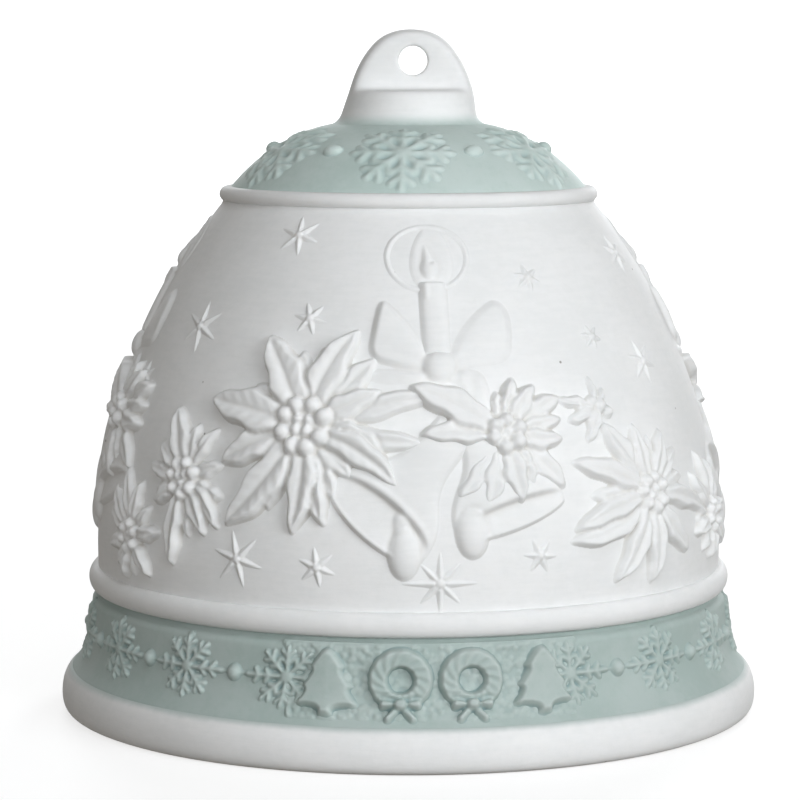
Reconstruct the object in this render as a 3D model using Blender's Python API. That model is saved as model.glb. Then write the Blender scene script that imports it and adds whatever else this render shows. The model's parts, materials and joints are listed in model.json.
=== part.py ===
"""A bisque porcelain Christmas bell: a stack of turned shells, applied relief and a clapper on a wire link.

Metres, +Z up. The origin is the centre of the lip's underside, and the lug's flat faces look along -Y and +Y.
Angles go round the bell from the front (-Y) towards +X.
"""

import math

import bmesh
import bpy
import numpy as np
from mathutils import Matrix, Vector

MM = 0.001
GAP = 0.3  # mm, between neighbouring solids
SEGMENTS = 36  # facets round every turned shell
WALL_THICKNESS = 3.0
DECORATION_TURN = 5.5  # degrees from the lug's flat face round to the middle of the front relief

# Outer profiles, (radius, height) in mm, as cubic curves from the top down.
CROWN_CURVE = ((7.9, 65.6), (14.4, 64.7), (18.4, 60.8), (19.95, 58.9))
WALL_CURVE = ((20.95, 56.6), (29.61, 45.87), (35.56, 29.89), (35.0, 16.6))
BAND_CURVE = ((35.6, 13.4), (36.1, 8.2), (36.1, 7.4), (38.65, 4.9))

CROWN_OPENING = 5.0  # radius of the hole in the crown's top that takes the lug's spigot
BEAD_BULGE = 0.75

LUG_BOSS_RADIUS = 7.9
LUG_SHOULDER = 69.3  # height where the round boss ends and the flat tab begins
LUG_TOP = 76.0
LUG_HALF_WIDTH = 7.2
TAB_HALF_THICKNESS = 2.5
HOLE_RADIUS = 1.65
HOLE_X = 0.5
HOLE_Z = 72.5
SPIGOT_BOTTOM = 62.3
SOCKET_RADIUS = 0.8
SOCKET_TOP = 66.2

LIP_RADIUS = 39.2
LIP_TOP = 4.6
REST_OUTER = 38.0  # outer and inner radius of the flat ring that the bell stands on
REST_INNER = 35.0

WIRE_RADIUS = 0.45
EYE_RADIUS = 1.8
LOOP_RADIUS = 1.5
LOOP_OPENING = 50  # degrees left open where a loop's end comes back to its own shank
EYE_HINGE_Z = 57.5  # the link swings about X here
STEM_LENGTH = 22.0
BALL_RADIUS = 6.5

# Relief on the wall: (name, angle, height, reach, tips, inner reach / reach)
FLOWERS = (
    ("poinsettia_large_front", -25.6, 35.0, 9.2, 11, 0.62),
    ("poinsettia_large_back", 154.4, 35.0, 9.2, 11, 0.62),
    ("poinsettia_middle_front", 12.4, 33.7, 6.8, 10, 0.6),
    ("poinsettia_middle_right", 102.4, 33.7, 6.8, 10, 0.6),
    ("poinsettia_middle_back", 192.4, 33.7, 6.8, 10, 0.6),
    ("poinsettia_middle_left", -77.6, 33.7, 6.8, 10, 0.6),
    ("poinsettia_corner_front_right", 44.6, 27.0, 6.4, 9, 0.55),
    ("poinsettia_corner_front_left", -50.5, 28.8, 5.8, 9, 0.55),
    ("poinsettia_corner_back_left", 224.6, 27.0, 6.4, 9, 0.55),
    ("poinsettia_corner_back_right", 129.5, 28.8, 5.8, 9, 0.55),
    ("poinsettia_small_front_left", -65.3, 21.8, 4.2, 8, 0.5),
    ("poinsettia_small_front_right", 64.9, 23.1, 4.4, 8, 0.5),
    ("poinsettia_small_back_right", 114.7, 21.8, 4.2, 8, 0.5),
    ("poinsettia_small_back_left", 244.9, 23.1, 4.4, 8, 0.5),
    ("holly_sprig_front", 31.8, 36.0, 2.6, 5, 0.6),
    ("holly_sprig_back", 211.8, 36.0, 2.6, 5, 0.6),
)
SIDES = (("front", 0), ("right", 90), ("back", 180), ("left", 270))
SNOWFLAKES_ON_CROWN = 6
SNOWFLAKE_HEIGHT = 62.4
SNOWFLAKE_REACH = 4.0

GARLAND_START = 22.0  # degrees, beside the right end of the front panel
GARLAND_END = 334.0
GARLAND_FLAKES = 17
GARLAND_HEIGHT = 9.4

MOTIF_HEIGHT = 9.9
MOTIF_ANGLES = (-18.9, -6.9, 4.6, 16.6)

PORCELAIN = (0.83, 0.82, 0.80, 1.0)
SAGE = (0.50, 0.60, 0.56, 1.0)
STEEL = (0.55, 0.55, 0.54, 1.0)


def clear_scene():
    for obj in list(bpy.data.objects):
        bpy.data.objects.remove(obj, do_unlink=True)


def material(name, colour, roughness, metallic=0.0):
    """A Principled material for one piece."""
    made = bpy.data.materials.new(name)
    made.use_nodes = True
    shader = made.node_tree.nodes["Principled BSDF"]
    shader.inputs["Base Color"].default_value = colour
    shader.inputs["Roughness"].default_value = roughness
    shader.inputs["Metallic"].default_value = metallic
    return made


def add_object(name, mesh, colour, roughness=0.8, metallic=0.0):
    obj = bpy.data.objects.new(name, mesh)
    bpy.context.scene.collection.objects.link(obj)
    obj.data.materials.append(material(name, colour, roughness, metallic))
    return obj


def object_from(bm, name, colour, origin=(0.0, 0.0, 0.0), roughness=0.8, metallic=0.0):
    """An object from a bmesh in millimetres, with its origin at a given point."""
    bmesh.ops.recalc_face_normals(bm, faces=bm.faces)
    bmesh.ops.translate(bm, verts=bm.verts, vec=-Vector(origin))
    bmesh.ops.scale(bm, verts=bm.verts, vec=(MM, MM, MM))
    mesh = bpy.data.meshes.new(name)
    bm.to_mesh(mesh)
    bm.free()
    mesh.shade_smooth()
    mesh.set_sharp_from_angle(angle=math.radians(40))
    obj = add_object(name, mesh, colour, roughness, metallic)
    obj.location = Vector(origin) * MM
    return obj


def cubic(curve, t):
    """The point of a cubic curve at t from 0 to 1."""
    a, b, c, d = (Vector(point) for point in curve)
    return a * (1 - t) ** 3 + b * 3 * t * (1 - t) ** 2 + c * 3 * t * t * (1 - t) + d * t**3


def cubic_normal(curve, t):
    """The outward unit normal of a profile that runs down its outer side."""
    step = 0.001
    run = cubic(curve, min(t + step, 1)) - cubic(curve, max(t - step, 0))
    return Vector((-run.y, run.x)).normalized()


def points_on(curve, count):
    return [cubic(curve, i / (count - 1)) for i in range(count)]


def inner_points(curve, count, thickness):
    """The inside of a shell, from the bottom up, on the same level at both ends as the outside."""
    points = []
    for i in reversed(range(count)):
        t = i / (count - 1)
        outer = cubic(curve, t)
        point = outer - cubic_normal(curve, t) * thickness
        if i in (0, count - 1):
            point.y = outer.y
        points.append(point)
    return points


def turned(name, profile, colour, segments=SEGMENTS, on_axis=False, **where):
    """A closed profile in (radius, height), turned about Z."""
    bm = bmesh.new()
    verts = [bm.verts.new((radius, 0.0, height)) for radius, height in profile]
    edges = [bm.edges.new(pair) for pair in zip(verts, verts[1:])]
    if not on_axis:
        edges.append(bm.edges.new((verts[-1], verts[0])))
    bmesh.ops.spin(
        bm, geom=verts + edges, cent=(0, 0, 0), axis=(0, 0, 1), angle=math.tau, steps=segments, use_merge=True
    )
    if on_axis:
        bmesh.ops.remove_doubles(bm, verts=bm.verts, dist=0.001)
    return object_from(bm, name, colour, **where)


def make_shells():
    """The lip, band, waist bead, wall, crown bead and crown, stacked with a gap at each joint."""
    lip = [
        (38.75, LIP_TOP),
        (39.05, 3.8),
        (LIP_RADIUS, 2.6),
        (LIP_RADIUS - 0.1, 1.4),
        (38.7, 0.5),
        (REST_OUTER, 0.0),
        (REST_INNER, 0.0),
        (34.3, 1.2),
        (33.7, LIP_TOP),
    ]
    turned("lip_ring", lip, PORCELAIN)
    band_inside = [(33.6, 4.9), (32.9, 8.5), (32.5, 13.4)]
    turned("lower_band", points_on(BAND_CURVE, 7) + band_inside, SAGE)
    turned("waist_bead", bead_profile(15.0, 35.3, 1.3, 32.3), PORCELAIN)
    wall_inside = inner_points(WALL_CURVE, 7, WALL_THICKNESS)
    turned("bell_wall", points_on(WALL_CURVE, 9) + wall_inside, PORCELAIN)
    turned("crown_bead", bead_profile(57.75, 20.4, 0.85, 17.4), PORCELAIN)
    crown_inside = inner_points(CROWN_CURVE, 5, WALL_THICKNESS)[:-1]
    ceiling = crown_inside[-1].y
    rim = [(CROWN_OPENING, ceiling), (CROWN_OPENING, CROWN_CURVE[0][1])]
    turned("crown_dome", points_on(CROWN_CURVE, 7) + crown_inside + rim, SAGE)


def bead_profile(height, radius, half_height, inner_radius):
    """A ring through the wall's thickness, with a half-round bulge outside."""
    steps = 5
    profile = []
    for i in range(steps):
        angle = math.pi * i / (steps - 1)
        profile.append((radius + BEAD_BULGE * math.sin(angle), height + half_height * math.cos(angle)))
    return profile + [(inner_radius, height - half_height), (inner_radius, height + half_height)]


def cutter(name, bm):
    """A hidden shape that a Boolean subtracts."""
    obj = object_from(bm, name, PORCELAIN)
    obj.hide_render = True
    obj.display_type = "WIRE"
    return obj


def box_bmesh(low, high):
    bm = bmesh.new()
    bmesh.ops.create_cube(bm, size=1.0)
    size = Vector(high) - Vector(low)
    middle = (Vector(high) + Vector(low)) / 2
    bmesh.ops.scale(bm, verts=bm.verts, vec=size)
    bmesh.ops.translate(bm, verts=bm.verts, vec=middle)
    return bm


def make_lug():
    """A round boss with an oval cap, sliced flat front and back above its shoulder, and a hanging hole."""
    boss_bottom = CROWN_CURVE[0][1] + GAP
    cap_steps = 7
    profile = [(0.0, LUG_TOP)]
    for i in range(1, cap_steps):
        angle = math.radians(90 * i / cap_steps)
        profile.append(
            (LUG_HALF_WIDTH * math.sin(angle), LUG_SHOULDER + (LUG_TOP - LUG_SHOULDER) * math.cos(angle))
        )
    profile += [
        (LUG_HALF_WIDTH, LUG_SHOULDER),
        (LUG_BOSS_RADIUS - 0.2, boss_bottom + 0.8),
        (LUG_BOSS_RADIUS, boss_bottom),
        (CROWN_OPENING - GAP, boss_bottom),
        (CROWN_OPENING - GAP, SPIGOT_BOTTOM),
        (SOCKET_RADIUS, SPIGOT_BOTTOM),
        (SOCKET_RADIUS, SOCKET_TOP),
        (0.0, SOCKET_TOP),
    ]
    lug = turned("hanger_lug", profile, PORCELAIN, segments=24, on_axis=True)
    reach = 12.0
    for side in (-1, 1):
        near, far = sorted((side * TAB_HALF_THICKNESS, side * reach))
        slab = box_bmesh((-reach, near, LUG_SHOULDER), (reach, far, LUG_TOP + 5))
        add_cut(lug, cutter("tab_cutter_%s" % ("front" if side < 0 else "back"), slab))
    hole = bmesh.new()
    bmesh.ops.create_cone(
        hole, cap_ends=True, segments=16, radius1=HOLE_RADIUS, radius2=HOLE_RADIUS, depth=2 * reach
    )
    turn = Matrix.Translation((HOLE_X, 0, HOLE_Z)) @ Matrix.Rotation(math.pi / 2, 4, "X")
    bmesh.ops.transform(hole, matrix=turn, verts=hole.verts)
    add_cut(lug, cutter("hole_cutter", hole))


def add_cut(obj, tool):
    cut = obj.modifiers.new(tool.name, "BOOLEAN")
    cut.operation = "DIFFERENCE"
    cut.solver = "EXACT"
    cut.object = tool


def wire(name, points, origin):
    """A bent wire, as a tube along points in mm, with its origin on its joint."""
    curve = bpy.data.curves.new(name, "CURVE")
    curve.dimensions = "3D"
    curve.bevel_depth = WIRE_RADIUS * MM
    curve.bevel_resolution = 2
    curve.use_fill_caps = True
    spline = curve.splines.new("POLY")
    spline.points.add(len(points) - 1)
    for spot, point in zip(spline.points, points):
        spot.co = (*((Vector(point) - Vector(origin)) * MM), 1.0)
    obj = add_object(name, curve, STEEL, roughness=0.35, metallic=1.0)
    obj.location = Vector(origin) * MM
    return obj


def loop_points(centre_z, radius, shank, along):
    """A loop in the plane of `along` and Z that leaves its shank at `shank` degrees and stops short of it."""
    steps = 12
    turn = 360 - LOOP_OPENING
    points = []
    for i in range(steps + 1):
        angle = math.radians(shank + turn * i / steps)
        points.append(Vector(along) * radius * math.cos(angle) + Vector((0, 0, centre_z + radius * math.sin(angle))))
    return points


def make_clapper():
    """An eye set in the lug's spigot, a wire link that hangs on it, and a porcelain clapper on the link."""
    eye_centre = EYE_HINGE_Z + EYE_RADIUS
    shank_top = (0, 0, SOCKET_TOP - GAP)
    wire("clapper_eye", [shank_top] + loop_points(eye_centre, EYE_RADIUS, 90, (1, 0, 0)), shank_top)

    upper = loop_points(EYE_HINGE_Z - GAP, LOOP_RADIUS, -90, (0, 1, 0))
    lower_centre = EYE_HINGE_Z - GAP - 2 * LOOP_RADIUS - STEM_LENGTH
    lower = loop_points(lower_centre, LOOP_RADIUS, 90, (0, 1, 0))
    wire("clapper_link", upper[::-1] + lower, (0, 0, EYE_HINGE_Z))

    hinge = lower_centre - LOOP_RADIUS
    ring = loop_points(hinge - GAP, LOOP_RADIUS, -90, (1, 0, 0))
    shank_bottom = (0, 0, hinge - GAP - LOOP_RADIUS - 3.0)
    wire("clapper_loop", [shank_bottom] + ring, (0, 0, hinge))

    neck_top = shank_bottom[2] + 2.2
    socket = WIRE_RADIUS + GAP
    ball_centre = neck_top - 9.0
    profile = [(socket, shank_bottom[2] - GAP), (socket, neck_top), (1.7, neck_top), (2.0, neck_top - 1.6)]
    start = 30
    steps = 7
    for i in range(steps):
        angle = math.radians(start + (180 - start) * i / steps)
        profile.append((BALL_RADIUS * math.sin(angle), ball_centre + BALL_RADIUS * math.cos(angle)))
    profile += [(0.0, ball_centre - BALL_RADIUS)]
    profile = [(0.0, shank_bottom[2] - GAP)] + profile
    turned("clapper_ball", profile[::-1], PORCELAIN, segments=18, on_axis=True, origin=(0, 0, hinge))


class Surface:
    """Places flat relief on a turned profile: u runs round it, v up it and w outwards, in mm."""

    def __init__(self, curve):
        self.curve = curve
        self.t = np.linspace(1, 0, 201)
        path = np.array([tuple(cubic(curve, t)) for t in self.t])
        self.height = path[:, 1]
        steps = np.hypot(*np.diff(path, axis=0).T)
        self.length = np.concatenate([[0], np.cumsum(steps)])

    def place(self, angle, height, u, v, w):
        start = np.interp(height, self.height, self.length)
        t = float(np.interp(start + v, self.length, self.t))
        point = cubic(self.curve, t)
        normal = cubic_normal(self.curve, t)
        turn = math.radians(angle + DECORATION_TURN) + u / point.x
        radius = point.x + w * normal.x
        return (radius * math.sin(turn), -radius * math.cos(turn), point.y + w * normal.y)


def relief(name, surface, angle, height, outline, colour, edge=0.5, crown=1.0, rings=2):
    """A closed sprig over a star-shaped outline: an even back, and a face that rises from edge to crown."""
    bm = bmesh.new()
    layers = []
    for w_at in (lambda share: GAP, lambda share: GAP + crown + (edge - crown) * share):
        layer = [[bm.verts.new(surface.place(angle, height, 0, 0, w_at(0)))]]
        for ring in range(1, rings + 1):
            share = ring / rings
            spots = [surface.place(angle, height, u * share, v * share, w_at(share)) for u, v in outline]
            layer.append([bm.verts.new(spot) for spot in spots])
        layers.append(layer)
    count = len(outline)
    for layer in layers:
        for i in range(count):
            j = (i + 1) % count
            bm.faces.new((layer[0][0], layer[1][i], layer[1][j]))
            for inner, outer in zip(layer[1:], layer[2:]):
                bm.faces.new((inner[i], outer[i], outer[j], inner[j]))
    for i in range(count):
        j = (i + 1) % count
        bm.faces.new((layers[0][-1][i], layers[0][-1][j], layers[1][-1][j], layers[1][-1][i]))
    return object_from(bm, name, colour)


def star_outline(tips, reach, inner, start=90):
    points = []
    for i in range(2 * tips):
        angle = math.radians(start + 180 * i / tips)
        radius = reach if i % 2 == 0 else inner
        points.append((radius * math.cos(angle), radius * math.sin(angle)))
    return points


def oval_outline(half_length, half_height, tilt, steps=12):
    turn = math.radians(tilt)
    points = []
    for i in range(steps):
        angle = math.tau * i / steps
        x = half_length * math.cos(angle)
        y = half_height * math.sin(angle)
        points.append((x * math.cos(turn) - y * math.sin(turn), x * math.sin(turn) + y * math.cos(turn)))
    return points


def strip(name, surface, stations, colour, closed=False, crown=0.6):
    """A closed band of relief along stations (angle, height, u of both edges, v of both edges)."""
    bm = bmesh.new()
    rows = []
    for angle, height, (u_low, v_low), (u_high, v_high) in stations:
        row = []
        for w, (u, v) in (
            (GAP, (u_low, v_low)),
            (GAP, (u_high, v_high)),
            (GAP + crown, (u_high, v_high)),
            (GAP + crown, (u_low, v_low)),
        ):
            row.append(bm.verts.new(surface.place(angle, height, u, v, w)))
        rows.append(row)
    pairs = list(zip(rows, rows[1:]))
    if closed:
        pairs.append((rows[-1], rows[0]))
    else:
        bm.faces.new(rows[0])
        bm.faces.new(rows[-1])
    for first, second in pairs:
        for i in range(4):
            j = (i + 1) % 4
            bm.faces.new((first[i], first[j], second[j], second[i]))
    return object_from(bm, name, colour)


def make_wall_relief(wall):
    for name, angle, height, reach, tips, inner in FLOWERS:
        outline = star_outline(tips, reach, reach * inner)
        rings = 3 if reach > 7 else 2
        relief(name, wall, angle, height, outline, PORCELAIN, crown=1.3, rings=rings)
    candle = [(-0.8, -3.4), (0.8, -3.4), (0.8, 3.2), (1.1, 5.0), (0.0, 7.6), (-1.1, 5.0), (-0.8, 3.2)]
    half_bow = [(1.3, 1.5), (5.4, 5.8), (6.8, 2.8), (5.8, -0.4), (2.2, -1.0), (1.5, -2.6)]
    bow = half_bow + [(0.0, -1.8)] + [(-u, v) for u, v in reversed(half_bow)]
    for side, turn in SIDES:
        relief("candle_" + side, wall, turn + 0.3, 46.9, candle, PORCELAIN, rings=2)
        relief("bow_" + side, wall, turn + 0.4, 41.2, bow, PORCELAIN, rings=2)
        make_halo("candle_halo_" + side, wall, turn - 0.5)
    for side, turn in SIDES[::2]:
        relief("bell_left_" + side, wall, turn - 9.5, 24.5, oval_outline(4.2, 2.3, -38), PORCELAIN)
        relief("bell_right_" + side, wall, turn + 14.0, 24.3, oval_outline(5.0, 1.7, 12), PORCELAIN)


def make_halo(name, wall, angle):
    """A thin ring of light round the flame, open where the candle's stick crosses it."""
    inner = 3.7
    outer = 4.3
    open_half = 24
    steps = 14
    stations = []
    for i in range(steps + 1):
        turn = math.radians(-90 + open_half + (360 - 2 * open_half) * i / steps)
        direction = Vector((math.cos(turn), math.sin(turn)))
        stations.append((angle, 51.6, tuple(direction * inner), tuple(direction * outer)))
    strip(name, wall, stations, PORCELAIN, crown=0.4)


def make_crown_relief(crown):
    for i in range(SNOWFLAKES_ON_CROWN):
        angle = 360 * i / SNOWFLAKES_ON_CROWN - 4
        outline = star_outline(6, SNOWFLAKE_REACH, SNOWFLAKE_REACH * 0.45)
        relief("crown_snowflake_%d" % (i + 1), crown, angle, SNOWFLAKE_HEIGHT, outline, SAGE, crown=0.7, edge=0.4)


def make_garland(band):
    """One string of snowflakes and pearls right round the band, from one end of the front panel to the other."""
    spacing = (GARLAND_END - GARLAND_START) / (GARLAND_FLAKES - 1)
    shape = ((-0.5, 0.7), (-0.34, 0.45), (-0.24, 1.4), (0.0, 2.9), (0.24, 1.4), (0.34, 0.45))
    stations = []
    for i in range(GARLAND_FLAKES):
        for share, half_height in shape:
            angle = GARLAND_START + spacing * (i + share)
            if GARLAND_START <= angle <= GARLAND_END:
                stations.append((angle, GARLAND_HEIGHT, (0, -half_height * 0.75), (0, half_height)))
    strip("snowflake_garland", band, stations, SAGE)


def make_motifs(band):
    """Two fir trees and two wreaths on the front panel."""
    half_tree = [(0.6, -2.7), (0.6, -2.0), (2.9, -2.0), (1.6, -0.4), (2.2, -0.4), (1.0, 1.1), (1.4, 1.1)]
    tree = half_tree + [(0.0, 2.9)] + [(-u, v) for u, v in reversed(half_tree)]
    left, mid_left, mid_right, right = MOTIF_ANGLES
    for name, angle in (("fir_tree_left", left), ("fir_tree_right", right)):
        relief(name, band, angle, MOTIF_HEIGHT, tree, SAGE, edge=0.9, crown=1.0, rings=2)
    for name, angle in (("wreath_left", mid_left), ("wreath_right", mid_right)):
        steps = 14
        stations = []
        for i in range(steps):
            turn = math.tau * i / steps
            direction = Vector((math.cos(turn), math.sin(turn)))
            stations.append((angle, MOTIF_HEIGHT, tuple(direction * 1.3), tuple(direction * 2.8)))
        strip(name, band, stations, SAGE, closed=True, crown=1.0)


def main():
    clear_scene()
    make_shells()
    make_lug()
    make_clapper()
    make_wall_relief(Surface(WALL_CURVE))
    make_crown_relief(Surface(CROWN_CURVE))
    band = Surface(BAND_CURVE)
    make_garland(band)
    make_motifs(band)


main()
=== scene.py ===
import json
import math

import bmesh
import bpy
import numpy as np
from mathutils import Matrix, Vector


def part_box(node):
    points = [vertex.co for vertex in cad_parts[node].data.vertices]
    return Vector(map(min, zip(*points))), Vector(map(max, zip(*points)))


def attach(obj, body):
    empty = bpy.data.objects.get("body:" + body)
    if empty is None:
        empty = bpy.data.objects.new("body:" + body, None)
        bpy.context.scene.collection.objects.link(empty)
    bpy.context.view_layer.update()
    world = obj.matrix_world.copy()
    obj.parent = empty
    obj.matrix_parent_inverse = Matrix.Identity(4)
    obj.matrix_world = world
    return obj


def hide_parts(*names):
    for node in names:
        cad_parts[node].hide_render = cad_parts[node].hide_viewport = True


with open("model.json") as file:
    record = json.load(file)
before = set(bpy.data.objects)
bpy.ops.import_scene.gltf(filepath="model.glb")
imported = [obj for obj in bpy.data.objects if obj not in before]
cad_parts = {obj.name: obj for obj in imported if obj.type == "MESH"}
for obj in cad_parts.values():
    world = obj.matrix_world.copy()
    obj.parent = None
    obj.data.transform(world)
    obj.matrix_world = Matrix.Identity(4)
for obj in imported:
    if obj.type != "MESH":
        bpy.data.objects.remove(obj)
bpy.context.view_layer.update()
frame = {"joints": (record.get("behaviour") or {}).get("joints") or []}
mm = 0.001
print("frame loaded")


def span(node):
    low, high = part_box(node)
    return low.z / mm, high.z / mm


# outlines of the turned shells, radius and height in mm from the top down

crownFoot, crownTop = span("crown_dome")
wallFoot, wallTop = span("bell_wall")
bandFoot, bandTop = span("lower_band")
lipFoot, lipTop = span("lip_ring")
lugFoot, lugTop = span("hanger_lug")

outlines = {
    "crown": ((7.9, crownTop), (14.4, crownTop - 0.9), (18.4, crownFoot + 1.9), (19.95, crownFoot)),
    "wall": ((20.95, wallTop), (29.61, 45.87), (35.56, 29.89), (35.0, wallFoot)),
    "band": ((35.6, bandTop), (36.1, 8.3), (36.05, 7.2), (38.0, bandFoot)),
}
decorationTurn = 5.5  # degrees from the lug's flat face to the middle of the front relief
gap = 0.3
bandRadius = 36.05  # where the garland and the panel lie


def cubic(curve, t):
    a, b, c, d = (np.array(point)[:, None] for point in curve)
    return a * (1 - t) ** 3 + b * 3 * t * (1 - t) ** 2 + c * 3 * t * t * (1 - t) + d * t**3


class Surface:
    # flat relief goes onto a turned outline: u runs round it, v up it and w outwards, all in mm
    def __init__(self, curve):
        self.t = np.linspace(1, 0, 801)
        self.radius, self.height = cubic(curve, self.t)
        self.length = np.concatenate([[0], np.cumsum(np.hypot(np.diff(self.radius), np.diff(self.height)))])
        slope = np.gradient(self.radius, self.length)
        rise = np.gradient(self.height, self.length)
        self.outR, self.outZ = rise, -slope

    def place(self, angle, height, u, v, w):
        along = np.interp(height, self.height, self.length) + v
        radius = np.interp(along, self.length, self.radius)
        level = np.interp(along, self.length, self.height)
        past = along - np.clip(along, 0, self.length[-1])  # beyond an end the surface runs straight on
        level = level + past
        turn = math.radians(angle + decorationTurn) + u / radius
        out = radius + w * np.interp(along, self.length, self.outR)
        up = level + w * np.interp(along, self.length, self.outZ)
        return np.stack([out * np.sin(turn), -out * np.cos(turn), up], axis=-1)


surfaces = {name: Surface(curve) for name, curve in outlines.items()}


# finishes


class Socket:
    # a socket of a node tree; maths on it adds the nodes
    def __init__(self, tree, socket=None):
        self.tree = tree
        self.socket = socket

    def node(self, kind, settings=None, inputs=None, output=0):
        made = self.tree.nodes.new(kind)
        for key, value in (settings or {}).items():
            if key == "stops":
                ramp = made.color_ramp
                while len(ramp.elements) < len(value):
                    ramp.elements.new(1.0)
                for element, (position, colour) in zip(ramp.elements, value):
                    element.position = position
                    element.color = colour
            else:
                setattr(made, key, value)
        for key, value in (inputs or {}).items():
            if isinstance(value, Socket):
                self.tree.links.new(value.socket, made.inputs[key])
            else:
                made.inputs[key].default_value = value
        return Socket(self.tree, made.outputs[output])

    def maths(self, operation, first, second=0.0):
        return self.node("ShaderNodeMath", {"operation": operation}, {0: first, 1: second})

    def __add__(self, other):
        return self.maths("ADD", self, other)

    def __sub__(self, other):
        return self.maths("SUBTRACT", self, other)

    def __rsub__(self, other):
        return self.maths("SUBTRACT", other, self)

    def __mul__(self, other):
        return self.maths("MULTIPLY", self, other)

    def clipped(self):
        return self.node("ShaderNodeClamp", {}, {0: self})

    def between(self, low, high):
        # 0 below low and 1 above high, eased
        settings = {"interpolation_type": "SMOOTHSTEP"}
        return self.node("ShaderNodeMapRange", settings, {"Value": self, "From Min": low, "From Max": high})

    def noise(self, size, detail=2.0, roughness=0.5):
        inputs = {"Vector": self, "Scale": 1 / (size * mm), "Detail": detail, "Roughness": roughness}
        return self.node("ShaderNodeTexNoise", {}, inputs)

    def mixed(self, first, second):
        # a colour that goes from first to second as this value goes from 0 to 1
        settings = {"data_type": "RGBA"}
        return self.node("ShaderNodeMix", settings, {0: self, 6: first, 7: second}, output=2)


def startMaterial(name):
    made = bpy.data.materials.new(name)
    made.use_nodes = True
    tree = made.node_tree
    shader = tree.nodes["Principled BSDF"]
    start = Socket(tree)
    place = start.node("ShaderNodeTexCoord", output=3)
    return made, shader, start, place


def finishMaterial(shader, colour, roughness, height, strength, distance):
    tree = shader.id_data
    inputs = {"Strength": strength, "Distance": distance * mm, "Height": height}
    bump = Socket(tree).node("ShaderNodeBump", {}, inputs)
    tree.links.new(colour.socket, shader.inputs["Base Color"])
    tree.links.new(roughness.socket, shader.inputs["Roughness"])
    tree.links.new(bump.socket, shader.inputs["Normal"])


bisque = {
    "white": (0.83, 0.83, 0.825, 1),
    "cool": (0.785, 0.79, 0.785, 1),
    # painted shade: the grey-brown the white darkens to in hollows
    "whiteShadeInHollows": (0.62, 0.605, 0.575, 1),
    "speck": (0.20, 0.18, 0.16, 1),
    "speckEvery": 7.0,  # mm
    "sage": (0.48, 0.585, 0.55, 1),
    # painted shade: the deeper blue-green the sage darkens to in hollows
    "sageShadeInHollows": (0.30, 0.41, 0.41, 1),
    "sagePale": (0.57, 0.66, 0.63, 1),
    # painted highlight: the paler sage on proud tops
    "sageHighlightOnTops": (0.66, 0.74, 0.715, 1),
    # painted shade: the band's sage tones are darkened by this share, standing in for the shade under the waist bead
    "bandPaintedShade": 0.78,
    "roughness": 0.72,
}


def shaded(colour, share):
    return tuple(share * part for part in colour[:3]) + (1,)


def bisqueMaterial(name, tinted, tintBelow=None, tintAbove=None, shade=1.0):
    # unglazed porcelain: white, or tinted sage, with tint that fades in past a level where one is given; hollows get
    # painted shade, proud sage tops a painted highlight, and shade darkens the sage tones as painted shade
    made, shader, start, place = startMaterial(name)
    hollow = start.node("ShaderNodeAttribute", {"attribute_name": "hollow"}, output=2)
    cloud = place.noise(9.0, 3.0)
    fine = place.noise(0.9, 3.0, 0.6)
    grain = place.noise(0.16, 2.0, 0.7)
    pits = place.noise(0.42, 1.0)

    drawn = start.node("ShaderNodeMapping", {}, {"Vector": place, "Scale": (1, 1, 6)})
    streak = drawn.noise(3.0, 3.0, 0.6)  # faint level marks from sponging the wet clay
    patches = (cloud * 0.5 + streak * 0.3 + fine * 0.2).between(0.38, 0.62)
    white = patches.mixed(bisque["white"], bisque["cool"])
    # painted shade: the white darkens towards grey-brown where the relief lies hollow
    white = (hollow * 0.95 + (fine - 0.5) * 0.12).clipped().mixed(white, bisque["whiteShadeInHollows"])
    tones = [shaded(bisque[tone], shade) for tone in ("sage", "sagePale", "sageShadeInHollows", "sageHighlightOnTops")]
    sage = (cloud * 0.6 + fine * 0.4).between(0.36, 0.64).mixed(tones[0], tones[1])
    # painted shade: the sage darkens to deeper blue-green where the relief lies hollow
    sage = (hollow * 1.4 + fine * 0.3 - 0.12).clipped().mixed(sage, tones[2])
    # painted highlight: the sage turns paler on the proud tops of the relief
    sage = (hollow * -1.2 - 0.1).clipped().mixed(sage, tones[3])
    colour = sage if tinted else white

    if tintBelow or tintAbove:
        level = start.node("ShaderNodeSeparateXYZ", {}, {0: place}, output=2)
        wander = (cloud - 0.5) * (0.5 * mm) + (fine - 0.5) * (0.15 * mm)
        if tintBelow:
            low, high = tintBelow
            share = 1 - (level + wander).between(low * mm, high * mm)
        else:
            low, high = tintAbove
            share = (level + wander).between(low * mm, high * mm)
        colour = share.mixed(colour, sage)

    cells = {"Vector": place, "Scale": 1 / (bisque["speckEvery"] * mm)}
    specks = 1 - start.node("ShaderNodeTexVoronoi", {"feature": "F1"}, cells).between(0.012, 0.028)
    colour = (specks * 0.8).mixed(colour, bisque["speck"])
    roughness = fine * 0.12 + (bisque["roughness"] - 0.06)
    height = grain * 0.5 + pits * 0.3 + fine * 0.5 + streak * 0.8
    finishMaterial(shader, colour, roughness, height, 0.4, 0.035)
    shader.inputs["Specular IOR Level"].default_value = 0.3
    shader.inputs["Subsurface Weight"].default_value = 0.12
    shader.inputs["Subsurface Radius"].default_value = (1.0, 0.9, 0.8)
    shader.inputs["Subsurface Scale"].default_value = 0.6 * mm
    return made


def wireMaterial():
    made, shader, start, place = startMaterial("drawn steel wire")
    streak = place.noise(0.5, 3.0, 0.6)
    colour = streak.between(0.3, 0.7).mixed((0.50, 0.50, 0.49, 1), (0.66, 0.655, 0.64, 1))
    finishMaterial(shader, colour, streak * 0.2 + 0.28, streak, 0.2, 0.02)
    shader.inputs["Metallic"].default_value = 1.0
    return made


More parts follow.
